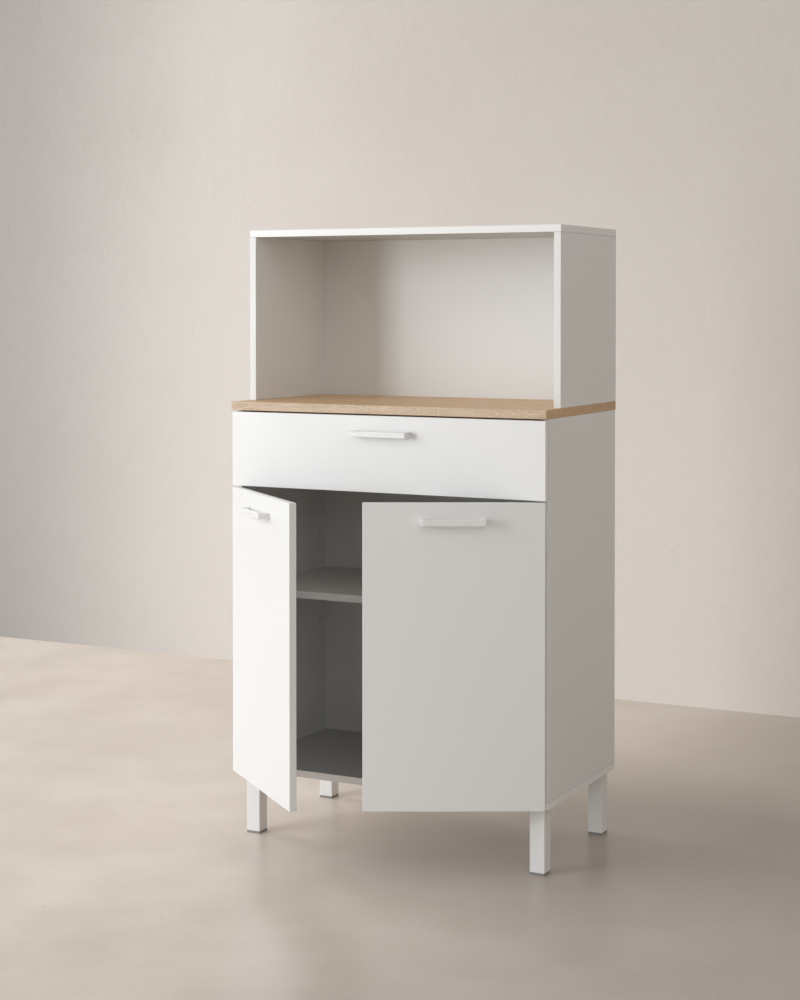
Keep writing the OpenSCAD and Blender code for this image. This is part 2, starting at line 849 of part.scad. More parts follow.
module door(side, ajar) {
    color(door_white) door_frame(side, ajar) difference() {
        front_board([door_w, front_t, door_h]);
        for (z = hinge_rows)
            translate([cup_edge, front_t - cup_depth, z]) rod_y(cup_r + clear, cup_depth + 1);
        cup_screw_places() wood_screw(hinge_screw_r, cup_screw_l, clear);
        door_handle_place() handle_holes();
    }
}

// Pressed cup with a flange on the back of the door and a slot for the links.
module hinge_cups(side, ajar) {
    color(steel) door_frame(side, ajar) difference() {
        for (z = hinge_rows) translate([cup_edge, 0, z]) {
            translate([0, front_t - cup_depth, 0]) rod_y(cup_r, cup_depth + flange_t);
            translate([0, front_t, 0]) rod_y(cup_r + rim_w, flange_t);
            translate([cup_screw_in - flange_w / 2, front_t + flange_t,
                       -cup_screw_pitch / 2 - flange_end])
                rotate([90, 0, 0]) linear_extrude(flange_t)
                    rounded_rect(flange_w, cup_screw_pitch + 2 * flange_end, flange_w / 2 - 1);
        }
        for (z = hinge_rows) translate([cup_edge, front_t - cup_depth + cup_wall, z])
            rod_y(cup_r - cup_wall, cup_depth + 2);
        cup_screw_places() wood_screw(hinge_screw_r, cup_screw_l, clear);
    }
}

module cup_screws(side, ajar) {
    color(steel) door_frame(side, ajar) cup_screw_places()
        cross_screw(hinge_screw_r, cup_screw_l);
}

// A hinge's frame on the case: as the frame of its closed door, at its height.
module hinge_frame(side) {
    for (z = hinge_rows) door_frame(side, 0) translate([0, 0, z]) children();
}

// Link: turns on the arm's pin, its far end open inside the cup.
module hinge_links(side, ajar) {
    turn = link_ratio * ajar - link_rise;
    color(steel) hinge_frame(side) translate([link_in, link_back, -rail_half]) rotate([0, 0, -turn])
        linear_extrude(2 * rail_half) difference() {
            union() {
                circle(link_hub_r);
                translate([0, -link_t / 2]) square([link_near, link_t]);
                translate([link_near, 0]) {
                    circle(link_t / 2);
                    rotate(-link_bend) {
                        translate([0, -link_t / 2]) square([link_far, link_t]);
                        translate([link_far, 0]) circle(link_r);
                    }
                }
            }
            circle(hinge_pin_r + hinge_pin_gap);
            translate([link_near, 0]) rotate(-link_bend) translate([link_far, 0]) circle(link_r / 2);
        }
}

// Folded arm: two cheeks joined by a web, and the pin that its link turns on.
module hinge_arms(side) {
    foot_in = panel_in + plate_t + slack;
    low_in = max(link_in - nose_r, foot_in - arm_sheet);
    top_in = panel_in + arm_high;
    color(steel) hinge_frame(side) {
        difference() {
            union() {
                for (z = [-arm_half, arm_half - arm_sheet]) translate([0, 0, z])
                    linear_extrude(arm_sheet) {
                        polygon([[link_in - nose_r, link_back], [link_in + nose_r, link_back],
                                 [top_in, arm_web_y], [top_in, arm_back],
                                 [foot_in, arm_back], [foot_in, arm_foot_y],
                                 [low_in, panel_back + 3], [low_in, panel_back - 0.5]]);
                        translate([link_in, link_back]) circle(nose_r);
                    }
                translate([top_in - arm_sheet, arm_web_y, -arm_half])
                    cube([arm_sheet, arm_back - arm_web_y, 2 * arm_half]);
            }
            for (y = [side_screw_y, panel_back + plate_inset])
                translate([top_in - 2 * arm_sheet, y, 0]) rod_x(hinge_screw_r + 0.5, 3 * arm_sheet);
        }
        translate([link_in, link_back, -arm_half]) cylinder(r = hinge_pin_r, h = 2 * arm_half);
    }
}

// Plate on the side board: two screwed wings and a rail inside the arm.
module hinge_plates(side) {
    middle = panel_back + plate_inset;
    color(steel) hinge_frame(side) difference() {
        union() {
            translate([panel_in, middle - plate_w / 2, -hole_pitch / 2 - plate_w / 2])
                rotate([90, 0, 90]) linear_extrude(plate_t)
                    rounded_rect(plate_w, hole_pitch + plate_w, plate_w / 2 - 1);
            translate([panel_in, middle - plate_l / 2, -rail_half])
                cube([plate_t, plate_l, 2 * rail_half]);
            translate([panel_in, middle - plate_l / 2, -rail_half + plate_t])
                cube([arm_high - arm_sheet, plate_l, 2 * (rail_half - plate_t)]);
        }
        for (z = [-hole_pitch / 2, hole_pitch / 2])
            translate([panel_in + plate_t, middle, z]) rotate([0, -90, 0])
                wood_screw(hinge_screw_r, plate_screw_l, clear);
    }
}

// Places of the plate screws on the left side board.
module plate_screw_places() {
    for (z = hinge_rows, offset = [-hole_pitch / 2, hole_pitch / 2])
        translate([plate_t - inner_x, case_y + plate_inset, door_z + z + offset])
            rotate([0, -90, 0]) children();
}

module hinge_plate_screws() {
    color(steel) both_sides() plate_screw_places() cross_screw(hinge_screw_r, plate_screw_l);
}

// ---- case fasteners ----

module case_screws() {
    color(steel) for (x = [-edge_x, edge_x]) {
        for (y = top_screw_rows) {
            translate([x, y, case_h - cap_t]) rotate([180, 0, 0]) difference() {
                case_screw();
                hex_recess(4, 2.5);
            }
            translate([x, y, worktop_z]) difference() {
                case_screw();
                hex_recess(4, 2.5);
            }
        }
        for (y = foot_screw_rows) translate([x, y, bottom_z]) difference() {
            case_screw();
            hex_recess(4, 2.5);
        }
    }
}

module screw_caps() {
    color(white) for (x = [-edge_x, edge_x], y = top_screw_rows)
        translate([x, y, case_h - cap_t]) cylinder(r = cap_r, h = cap_t);
}

module case_dowels() {
    color(beech) for (x = [-edge_x, edge_x]) {
        for (y = top_dowel_rows) {
            translate([x, y, top_z + dowel_in_face - dowel_l]) dowel();
            translate([x, y, hutch_z - dowel_in_face]) dowel();
        }
        for (y = base_dowel_rows)
            translate([x, y, worktop_z + dowel_in_face - dowel_l]) dowel();
        for (y = foot_dowel_rows)
            translate([x, y, base_z - dowel_in_face]) dowel();
    }
}

module worktop_cams() {
    color(steel) both_sides() for (y = base_cam_rows)
        translate([-inner_x, y, worktop_z - cam_drop])
            rotate([0, 90, 0]) rotate([0, 0, 90]) cam(cam_r, cam_t, cam_bolt_r, board_t / 2);
}

module worktop_cam_bolts() {
    color(steel) both_sides() for (y = base_cam_rows)
        translate([-edge_x, y, worktop_z - cam_drop])
            cam_bolt(cam_bolt_r, cam_drop + cam_bolt_in_face - 0.5);
}

module back_nails() {
    color(steel) nail_places() nail();
}

// Soft pads on the case: two stop the doors and four stop the drawer front.
module front_bumpers() {
    pad_t = closing_gap - slack;
    color(nylon) both_sides() {
        translate([-20, case_y - pad_t, bottom_z + board_t / 2]) rod_y(4, pad_t);
        for (z = [drawer_front_z + 8, worktop_z - 12])
            translate([-edge_x, case_y - pad_t, z]) rod_y(4, pad_t);
    }
}

worktop();
hutch_side(-1);  // hutch_left_side
hutch_side(1);  // hutch_right_side
hutch_top();
hutch_back();
base_side(-1);  // base_left_side
base_side(1);  // base_right_side
base_bottom();
base_back();
shelf();
shelf_pins();
leg(-1, 0);  // front_left_leg
leg(1, 0);  // front_right_leg
leg(-1, 1);  // rear_left_leg
leg(1, 1);  // rear_right_leg
leg_feet();
leg_inserts();
case_runner(-1);  // left_case_runner
case_runner(1);  // right_case_runner
case_rollers();
drawer_runner(-1);  // left_drawer_runner
drawer_runner(1);  // right_drawer_runner
drawer_rollers();
runner_screws();
drawer_runner_screws();
drawer_front();
drawer_side(-1);  // drawer_left_side
drawer_side(1);  // drawer_right_side
drawer_back();
drawer_bottom();
drawer_handle_place() handle();  // drawer_handle
drawer_handle_place() handle_screws();  // drawer_handle_screws
drawer_cams();
drawer_cam_bolts();
drawer_back_screws();
door(-1, left_ajar);  // left_door
door_frame(-1, left_ajar) door_handle_place() handle();  // left_door_handle
door_frame(-1, left_ajar) door_handle_place() handle_screws();  // left_handle_screws
hinge_cups(-1, left_ajar);  // left_hinge_cups
cup_screws(-1, left_ajar);  // left_cup_screws
hinge_links(-1, left_ajar);  // left_hinge_links
hinge_arms(-1);  // left_hinge_arms
hinge_plates(-1);  // left_hinge_plates
door(1, right_ajar);  // right_door
door_frame(1, right_ajar) door_handle_place() handle();  // right_door_handle
door_frame(1, right_ajar) door_handle_place() handle_screws();  // right_handle_screws
hinge_cups(1, right_ajar);  // right_hinge_cups
cup_screws(1, right_ajar);  // right_cup_screws
hinge_links(1, right_ajar);  // right_hinge_links
hinge_arms(1);  // right_hinge_arms
hinge_plates(1);  // right_hinge_plates
hinge_plate_screws();
case_screws();
screw_caps();
case_dowels();
worktop_cams();
worktop_cam_bolts();
back_nails();
front_bumpers();
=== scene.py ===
import json
import math

import bmesh
import bpy
from mathutils import Matrix, Vector


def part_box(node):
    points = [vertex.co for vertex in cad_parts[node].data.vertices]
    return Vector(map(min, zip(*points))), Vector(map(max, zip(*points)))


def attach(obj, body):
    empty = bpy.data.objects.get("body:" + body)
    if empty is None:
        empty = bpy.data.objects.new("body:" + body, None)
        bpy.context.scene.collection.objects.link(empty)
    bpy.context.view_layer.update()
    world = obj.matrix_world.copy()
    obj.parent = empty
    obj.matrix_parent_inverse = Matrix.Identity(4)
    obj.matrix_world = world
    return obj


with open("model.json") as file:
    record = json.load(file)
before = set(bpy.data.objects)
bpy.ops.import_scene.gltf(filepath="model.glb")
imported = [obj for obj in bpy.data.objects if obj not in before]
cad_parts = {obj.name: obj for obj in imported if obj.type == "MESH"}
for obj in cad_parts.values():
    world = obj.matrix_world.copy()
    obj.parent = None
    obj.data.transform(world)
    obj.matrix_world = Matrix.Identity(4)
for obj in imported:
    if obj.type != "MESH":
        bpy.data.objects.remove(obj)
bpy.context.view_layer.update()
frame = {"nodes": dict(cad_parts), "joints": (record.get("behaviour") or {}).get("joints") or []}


# ---- The view ----
# The cabinet is seen from its front right, from a little below its roof, through a long lens.
# The camera looks almost level and its frame is shifted down, so upright edges stay upright.

BELOW_LEVEL = 1.008      # how far the camera looks down, in degrees
TO_THE_LEFT = 26.892     # and how far it is turned to the left

camera = bpy.data.cameras.new("camera")
camera.lens = 67.28
camera.shift_x = -0.0032
camera.shift_y = -0.1639
viewer = bpy.data.objects.new("camera", camera)
viewer.location = (1.7552, -3.4444, 1.1314)
viewer.rotation_euler = (math.radians(90 - BELOW_LEVEL), 0, math.radians(TO_THE_LEFT))
bpy.context.scene.collection.objects.link(viewer)
bpy.context.scene.camera = viewer
bpy.context.scene.view_settings.view_transform = "Standard"


# ---- Worktop ----
# Particleboard faced with a printed oak paper under clear melamine, its grain along the width.
# The front and both ends have an oak edge band, and the rear edge is bare board.

BAND = 0.0006            # thickness of an edge band
BAND_FADE = 0.00008      # and of the strip over which its tone ends
SKIN = 0.0005            # thickness of a face's covering, over the chips
SKIN_FADE = 0.0003       # and of the layer in which the chips come out
JOINT_LINE = 0.00012     # half the width of the line between a band and a face
# The joint's shade is painted shade, where another board meets this one.
JOINT_SHADE = 0.0006     # how far the shade of a joint reaches on a board that meets another
STEEP = 0.7              # an axis's part of the normal, above which a face looks along it

# The printed oak on the front edge, on the flat faces and on the ends, each in its own tone;
# the flat faces' tone also holds painted light and the ends' tone painted shade.
PALE_OAK = {"front": (0.76, 0.60, 0.445), "face": (0.98, 0.70, 0.435), "end": (0.78, 0.515, 0.30)}
DARK_OAK = {"front": (0.46, 0.32, 0.20), "face": (0.62, 0.36, 0.175), "end": (0.46, 0.28, 0.14)}


def fill(tree, socket, value):
    """Gives a node's input another node's output, or a plain value or colour."""
    if isinstance(value, bpy.types.NodeSocket):
        tree.links.new(value, socket)
    elif socket.type == "RGBA":
        socket.default_value = (*value, 1)
    else:
        socket.default_value = value


def add(tree, kind, inputs=(), **settings):
    """Adds a shader node, with its settings and its inputs by their names or numbers."""
    made = tree.nodes.new("ShaderNode" + kind)
    for name, value in settings.items():
        setattr(made, name, value)
    for name, value in dict(inputs).items():
        fill(tree, made.inputs[name], value)
    return made


def sums(tree, operation, *values, clamp=False):
    """A Math node's result."""
    return add(tree, "Math", enumerate(values), operation=operation, use_clamp=clamp).outputs[0]


def shares(tree, *parts):
    """The sum of some values, each times its share."""
    total = sums(tree, "MULTIPLY", *parts[0])
    for value, share in parts[1:]:
        total = sums(tree, "MULTIPLY_ADD", value, share, total)
    return total


def vectors(tree, operation, *values):
    """A Vector Math node's result."""
    made = add(tree, "VectorMath", enumerate(values), operation=operation)
    return made.outputs["Value" if operation in ("DOT_PRODUCT", "LENGTH") else "Vector"]


def between(tree, value, low, high, start=0.0, end=1.0):
    """A value eased from start to end while it rises from low to high."""
    made = add(tree, "MapRange", {"Value": value, "From Min": low, "From Max": high,
                                  "To Min": start, "To Max": end},
               interpolation_type="SMOOTHSTEP")
    return made.outputs["Result"]


def blended(tree, share, first, second):
    """A colour between two colours."""
    return add(tree, "Mix", {0: share, 6: first, 7: second}, data_type="RGBA").outputs[2]


def mapped(tree, place, **changes):
    """A place after a change of location, rotation or scale."""
    inputs = {name.title(): value for name, value in changes.items()}
    return add(tree, "Mapping", {"Vector": place, **inputs}).outputs["Vector"]


def noise(tree, place, scale, detail=2.0, roughness=0.5, distortion=0.0):
    """A noise value at a place."""
    made = add(tree, "TexNoise", {"Vector": place, "Scale": scale, "Detail": detail,
                                  "Roughness": roughness, "Distortion": distortion})
    return made.outputs["Fac"]


def effect(name, inputs, outputs):
    """An empty node group with named sockets, its inputs' outputs and its outputs' inputs."""
    tree = bpy.data.node_groups.new(name, "ShaderNodeTree")
    for label, kind, value in inputs:
        socket = tree.interface.new_socket(label, in_out="INPUT", socket_type="NodeSocket" + kind)
        socket.default_value = value
    for label, kind in outputs:
        tree.interface.new_socket(label, in_out="OUTPUT", socket_type="NodeSocket" + kind)
    return tree, tree.nodes.new("NodeGroupInput").outputs, tree.nodes.new("NodeGroupOutput").inputs


def placed(tree, group, **inputs):
    """Places a node group in a material, its inputs by their names."""
    made = tree.nodes.new("ShaderNodeGroup")
    made.node_tree = group
    for name, value in inputs.items():
        fill(tree, made.inputs[name.replace("_", " ").title()], value)
    return made.outputs


def finish(name, **sockets):
    """A new material, with the values that are the same all over, and the place on its piece."""
    material = bpy.data.materials.new(name)
    material.use_nodes = True
    tree = material.node_tree
    shader = tree.nodes["Principled BSDF"]
    for label, value in sockets.items():
        fill(tree, shader.inputs[label.replace("_", " ").title().replace("Ior", "IOR")], value)
    return material, tree, shader, add(tree, "TexCoord").outputs["Object"]


def raised(tree, shader, height, depth, strength):
    """Gives a shader the relief of a height, in metres of depth."""
    bump = add(tree, "Bump", {"Height": height, "Distance": depth, "Strength": strength})
    tree.links.new(bump.outputs["Normal"], shader.inputs["Normal"])


def dress(material, *names):
    """Puts a finish on CAD pieces whose shape is right as it is."""
    for name in names:
        slots = frame["nodes"][name].data.materials
        slots.clear()
        slots.append(material)


def board_edges():
    """Where a box-shaped board shows an edge band, a joint line or its bare core.

    Low and High are the box's corners. Banded and Bare are 1 for each of its six sides that has
    a band or is left bare, and Met is 1 for a lower or upper end that meets another board; there
    Joint also holds painted shade.
    """
    tree, given, wanted = effect("board edges", [
        ("Place", "Vector", (0, 0, 0)), ("Low", "Vector", (0, 0, 0)),
        ("High", "Vector", (1, 1, 1)),
        ("Banded Low", "Vector", (0, 0, 0)), ("Banded High", "Vector", (0, 0, 0)),
        ("Bare Low", "Vector", (0, 0, 0)), ("Bare High", "Vector", (0, 0, 0)),
        ("Met Low", "Float", 0), ("Met High", "Float", 0)],
        [("Band", "Float"), ("Joint", "Float"), ("Core", "Float")])

    def nearest(flag, wanted_value, low, high):
        """The least distance from the sides whose flag has the wanted value.

        The other sides are counted a metre further away, so that none of them is the nearest.
        """
        counted = []
        for end, distance in (("Low", low), ("High", high)):
            unlike = vectors(tree, "SUBTRACT", given[f"{flag} {end}"], (wanted_value,) * 3)
            counted.append(vectors(tree, "ADD", distance, vectors(tree, "ABSOLUTE", unlike)))
        both = add(tree, "SeparateXYZ", {"Vector": vectors(tree, "MINIMUM", *counted)}).outputs
        return sums(tree, "MINIMUM", sums(tree, "MINIMUM", both[0], both[1]), both[2])

    from_low = vectors(tree, "SUBTRACT", given["Place"], given["Low"])
    from_high = vectors(tree, "SUBTRACT", given["High"], given["Place"])
    from_lines = [vectors(tree, "ABSOLUTE", vectors(tree, "SUBTRACT", distance, (BAND,) * 3))
                  for distance in (from_low, from_high)]
    edge = nearest("Banded", 1, from_low, from_high)
    line = nearest("Banded", 1, *from_lines)
    inside = nearest("Bare", 0, from_low, from_high)
    ends = []
    # Painted shade along a lower or upper end that another board meets.
    for distance, flag in ((from_low, "Met Low"), (from_high, "Met High")):
        height = add(tree, "SeparateXYZ", {"Vector": distance}).outputs["Z"]
        shade = between(tree, height, JOINT_SHADE / 2, JOINT_SHADE, start=1, end=0)
        ends.append(sums(tree, "MULTIPLY", shade, given[flag]))
    met = sums(tree, "ADD", *ends, clamp=True)
    thin_line = between(tree, line, JOINT_LINE / 3, JOINT_LINE, start=0.5, end=0)
    tree.links.new(between(tree, edge, BAND - BAND_FADE, BAND, start=1, end=0), wanted["Band"])
    tree.links.new(sums(tree, "MAXIMUM", thin_line, met), wanted["Joint"])
    tree.links.new(between(tree, inside, SKIN, SKIN + SKIN_FADE), wanted["Core"])
    return tree


def chipboard():
    """Pressed wood chips, as a drilled hole or an edge without a band shows them."""
    tree, given, wanted = effect("chipboard", [("Place", "Vector", (0, 0, 0))],
                                 [("Color", "Color")])
    flat = mapped(tree, given["Place"], scale=(1, 1, 2.5))
    chips = add(tree, "TexVoronoi", {"Vector": flat, "Scale": 420, "Randomness": 1})
    shade = shares(tree, (chips.outputs["Color"], 0.6),
                   (noise(tree, flat, scale=900, detail=3), 0.4))
    tree.links.new(blended(tree, shade, (0.30, 0.19, 0.10), (0.66, 0.50, 0.33)), wanted["Color"])
    return tree


def oak_figure():
    """Oak grain along X: broad cathedral bands, fine streaks and short open pores."""
    tree, given, wanted = effect("oak figure", [
        ("Place", "Vector", (0, 0, 0)), ("Pale", "Color", (0.7, 0.5, 0.35, 1)),
        ("Dark", "Color", (0.45, 0.3, 0.18, 1)), ("Flecks", "Float", 0.2)],
        [("Color", "Color"), ("Height", "Float"), ("Pore", "Float")])
    long = mapped(tree, given["Place"], scale=(0.07, 1, 1))
    longest = mapped(tree, given["Place"], scale=(0.045, 1, 1))
    short = mapped(tree, given["Place"], scale=(0.3, 1, 1))
    arches = mapped(tree, given["Place"], scale=(0.16, 1, 1), location=(0, 0.11, 0.03))
    bands = add(tree, "TexWave", {"Vector": arches, "Scale": 9.0, "Distortion": 7.5, "Detail": 3.0,
                                  "Detail Scale": 1.3, "Detail Roughness": 0.6},
                bands_direction="Y", wave_profile="SAW").outputs["Fac"]
    streaks = noise(tree, long, scale=260, detail=6, roughness=0.62)
    shades = noise(tree, long, scale=34, detail=3, roughness=0.55)
    pits = between(tree, noise(tree, longest, scale=1500, detail=1, roughness=0.4), 0.60, 0.68)
    pore = sums(tree, "MULTIPLY", pits, between(tree, noise(tree, long, scale=60), 0.42, 0.62))
    tone = shares(tree, (bands, 0.34), (between(tree, streaks, 0.32, 0.68), 0.38),
                  (between(tree, shades, 0.3, 0.7), 0.28))
    speckle = between(tree, noise(tree, short, scale=700, detail=3, roughness=0.7), 0.36, 0.64)
    mixed = add(tree, "Mix", {0: given["Flecks"], 2: tone, 3: speckle}).outputs[0]
    plain = blended(tree, mixed, given["Pale"], given["Dark"])
    tree.links.new(blended(tree, sums(tree, "MULTIPLY", pore, 0.55), plain, (0.24, 0.14, 0.075)),
                   wanted["Color"])
    tree.links.new(sums(tree, "SUBTRACT", sums(tree, "MULTIPLY", streaks, 0.3), pore),
                   wanted["Height"])
    tree.links.new(pore, wanted["Pore"])
    return tree


edges_group = board_edges()
core_group = chipboard()
oak_group = oak_figure()


def worktop_finish():
    """Oak melamine, whose grain runs along each face, with bare chips at the rear edge."""
    material, tree, shader, place = finish("oak melamine", ior=1.5)
    normal = add(tree, "TexCoord").outputs["Normal"]
    facing = add(tree, "SeparateXYZ", {"Vector": normal}).outputs
    end, upward = [sums(tree, "GREATER_THAN", sums(tree, "ABSOLUTE", facing[axis]), STEEP)
                   for axis in "XZ"]
    turned = mapped(tree, place, rotation=(0, 0, math.pi / 2))
    along = add(tree, "Mix", {0: end, 4: place, 5: turned}, data_type="VECTOR").outputs[1]
    # Picking the tones by facing paints light on the flat faces and shade on the ends.
    pale, dark = [blended(tree, end, blended(tree, upward, oak["front"], oak["face"]), oak["end"])
                  for oak in (PALE_OAK, DARK_OAK)]
    grain = placed(tree, oak_group, place=along, pale=pale, dark=dark,
                   flecks=between(tree, upward, 0, 1, start=0.5, end=0.15))
    low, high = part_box("worktop")
    edges = placed(tree, edges_group, place=place, low=low, high=high,
                   banded_low=(1, 1, 0), banded_high=(1, 0, 0), bare_high=(0, 1, 0))
    core = placed(tree, core_group, place=place)
    shown = blended(tree, sums(tree, "MULTIPLY", edges["Joint"], 0.7), grain["Color"],
                    (0.2, 0.13, 0.08))
    tree.links.new(blended(tree, edges["Core"], shown, core["Color"]),
                   shader.inputs["Base Color"])
    tree.links.new(sums(tree, "MULTIPLY_ADD", grain["Pore"], 0.2, 0.45),
                   shader.inputs["Roughness"])
    raised(tree, shader, grain["Height"], depth=0.00006, strength=0.6)
    return material


dress(worktop_finish(), "worktop")


# ---- White boards of the case and the hutch ----
# Particleboard faced with white melamine that has a fine orange-peel texture.
# Seen edges have a white band, and drilled holes, grooves and rear edges show the chips.

MELAMINE = (0.86, 0.86, 0.845)
BAND_TONE = 1.015        # how bright an edge band is, against the faces


def pressed_melamine():
    """The fine orange peel of a melamine face, and the faint unevenness of its gloss."""
    tree, given, wanted = effect("pressed melamine", [
        ("Place", "Vector", (0, 0, 0)), ("Grain", "Float", 1300.0)],
        [("Height", "Float"), ("Gloss", "Float"), ("Tone", "Float")])
    tree.links.new(noise(tree, given["Place"], given["Grain"]), wanted["Height"])
    tree.links.new(noise(tree, given["Place"], scale=7, detail=3, roughness=0.6), wanted["Gloss"])
    tree.links.new(noise(tree, given["Place"], scale=2.6), wanted["Tone"])
    return tree


melamine_group = pressed_melamine()


def dress_board(node, banded_low=(0, 0, 0), banded_high=(0, 0, 0), bare_low=(0, 0, 0),
                bare_high=(0, 0, 0), met=(0.0, 0.0), color=MELAMINE, band_tone=BAND_TONE,
                rough=0.42, box=None, pivot=(0, 0, 0), turn=0.0):
    """White melamine for one board, with its edge bands and its bare core where they are.

    A board that stands turned about a pivot is given its box as it is when turned back.
    """
    material, tree, shader, place = finish("melamine " + node.replace("_", " "), ior=1.5)
    low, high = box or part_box(node)
    squared = place
    if turn:
        squared = mapped(tree, vectors(tree, "SUBTRACT", place, pivot), rotation=(0, 0, turn))
    edges = placed(tree, edges_group, place=squared, low=low, high=high,
                   banded_low=banded_low, banded_high=banded_high,
                   bare_low=bare_low, bare_high=bare_high, met_low=met[0], met_high=met[1])
    face = placed(tree, melamine_group, place=squared)
    core = placed(tree, core_group, place=squared)
    toned = blended(tree, face["Tone"], color, [0.975 * part for part in color])
    banded = blended(tree, edges["Band"], toned, [min(1, band_tone * part) for part in color])
    # Joint lines darken the white, and so does painted shade where another board meets this one.
    seamed = blended(tree, sums(tree, "MULTIPLY", edges["Joint"], 0.6), banded,
                     [0.35 * part for part in color])
    tree.links.new(blended(tree, edges["Core"], seamed, core["Color"]),
                   shader.inputs["Base Color"])
    gloss = between(tree, face["Gloss"], 0.3, 0.7, start=rough - 0.03, end=rough + 0.04)
    smoother = sums(tree, "MULTIPLY_ADD", edges["Band"], -0.04, gloss)
    tree.links.new(sums(tree, "MULTIPLY_ADD", edges["Core"], 0.4, smoother),
                   shader.inputs["Roughness"])
    peel = sums(tree, "MULTIPLY", face["Height"],
                between(tree, edges["Band"], 0, 1, start=1, end=0.3))
    raised(tree, shader, peel, depth=0.00002, strength=0.35)
    dress(material, node)


# The hutch's bands are a little greyer than the faces, which is painted shade that tones down
# the windows' light on them, and those of the case a little whiter.
for node, tone in (("hutch_left_side", 0.9), ("hutch_right_side", 0.96),
                   ("base_left_side", BAND_TONE), ("base_right_side", BAND_TONE)):
    dress_board(node, banded_low=(0, 1, 0), bare_low=(0, 0, 1), bare_high=(0, 1, 1),
                met=(1.0, 1.0), band_tone=tone)
# The base bottom's white is raised by painted light inside the case.
for node, met, color in (("hutch_top", (1.0, 0.0), MELAMINE),
                         ("base_bottom", (0.0, 1.0), (0.90, 0.90, 0.885))):
    dress_board(node, banded_low=(1, 1, 0), banded_high=(1, 0, 0), bare_high=(0, 1, 0),
                met=met, color=color)
# The shelf's white is dimmed by painted shade inside the cabinet, and its band brightened by
# painted light.
dress_board("shelf", banded_low=(0, 1, 0), bare_low=(1, 0, 0), bare_high=(1, 1, 0),
            color=(0.79, 0.79, 0.775), band_tone=1.12)


# ---- Hardboard backs and drawer bottom ----
# Thin fibreboard lacquered white on the side that faces into the cabinet,
# and bare brown fibre on the other side and at its edges.

def hardboard_finish(name, bare_side):
    """Brown fibre, but for the lacquered side, which looks away from the bare one."""
    material, tree, shader, place = finish(name, ior=1.45)
    fibre = noise(tree, place, scale=1800, detail=4, roughness=0.7)
    patches = noise(tree, place, scale=9, detail=3, roughness=0.6)
    brown = blended(tree, fibre, (0.33, 0.215, 0.125), (0.47, 0.335, 0.215))
    stained = blended(tree, between(tree, patches, 0.35, 0.75, start=0, end=0.35), brown,
                      (0.36, 0.25, 0.155))
    normal = add(tree, "TexCoord").outputs["Normal"]
    bare = sums(tree, "GREATER_THAN", vectors(tree, "DOT_PRODUCT", normal, bare_side), -0.5)
    face = placed(tree, melamine_group, place=place, grain=700)
    white = blended(tree, face["Tone"], (0.865, 0.87, 0.86), (0.845, 0.85, 0.84))
    tree.links.new(blended(tree, bare, white, stained), shader.inputs["Base Color"])
    tree.links.new(sums(tree, "MULTIPLY_ADD", bare, 0.25, 0.55), shader.inputs["Roughness"])
    height = sums(tree, "MULTIPLY", fibre, sums(tree, "ADD", bare, 0.15))
    raised(tree, shader, height, depth=0.00005, strength=0.5)
    return material


dress(hardboard_finish("hardboard back", bare_side=(0, 1, 0)), "base_back", "hutch_back")
dress(hardboard_finish("hardboard drawer bottom", bare_side=(0, 0, -1)), "drawer_bottom")


# ---- Doors and drawer front ----
# The same board with a smoother white face, banded on all four edges.
# The doors stand ajar, so each pattern is turned with its door.

FRONT = {"banded_low": (1, 0, 1), "banded_high": (1, 0, 1),
         "color": (0.86, 0.86, 0.855), "rough": 0.36}
joints = {joint["name"]: joint for joint in frame["joints"]}


def door_ajar(side):
    """A door's hinge line, and the turn about it that would shut the door, in radians."""
    joint = joints[side + "_door_hinge"]
    ajar = math.radians(-joint["range_deg"][0])
    return Vector(joint["pos_m"]), ajar if side == "left" else -ajar


def squared_box(node, pivot, turn):
    """A door's box as it is when the door is shut, measured from its hinge line."""
    back = Matrix.Rotation(turn, 3, "Z")
    corners = [back @ (vertex.co - pivot) for vertex in frame["nodes"][node].data.vertices]
    return [Vector(furthest(corner[axis] for corner in corners) for axis in range(3))
            for furthest in (min, max)]


for side in ("left", "right"):
    pivot, turn = door_ajar(side)
    door = side + "_door"
    dress_board(door, **FRONT, box=squared_box(door, pivot, turn), pivot=pivot, turn=turn)
dress_board("drawer_front", **FRONT)


# ---- Drawer box ----
# Two sides and a back of thinner board with the same white melamine, banded on top only.
# Screws hold the back between the sides, and cams hold the sides to the drawer's front.

for node, ends in (("drawer_left_side", (0, 1)), ("drawer_right_side", (0, 1)),
                   ("drawer_back", (1, 0))):
    dress_board(node, banded_high=(0, 0, 1), bare_low=(*ends, 1), bare_high=(*ends, 0))


# ---- Legs and handles ----
# Square steel tubes with a white powder coat, whose studs turn into inserts in the bottom
# board, and one-piece handles in a satin white lacquer, each held by two screws from inside.

def coat_finish(name, color, rough, grain):
    """A baked coat of paint with a soft, fine unevenness."""
    material, tree, shader, place = finish(name, ior=1.5)
    tree.links.new(blended(tree, noise(tree, place, scale=20), color,
                           [0.97 * part for part in color]), shader.inputs["Base Color"])
    gloss = noise(tree, place, scale=60, detail=3)
    tree.links.new(between(tree, gloss, 0.3, 0.7, start=rough - 0.04, end=rough + 0.05),
                   shader.inputs["Roughness"])
    raised(tree, shader, noise(tree, place, grain), depth=0.00004, strength=0.3)
    return material


dress(coat_finish("white powder coat", (0.88, 0.88, 0.87), rough=0.38, grain=900),
      "front_left_leg", "front_right_leg", "rear_left_leg", "rear_right_leg")
dress(coat_finish("white handle lacquer", (0.86, 0.86, 0.855), rough=0.33, grain=1200),
      "drawer_handle", "left_door_handle", "right_door_handle")


# ---- Drawer runners ----
# Rolled steel with a baked white coat: a slotted channel screwed to each side of the case,
# and an angle screwed under each side of the drawer.

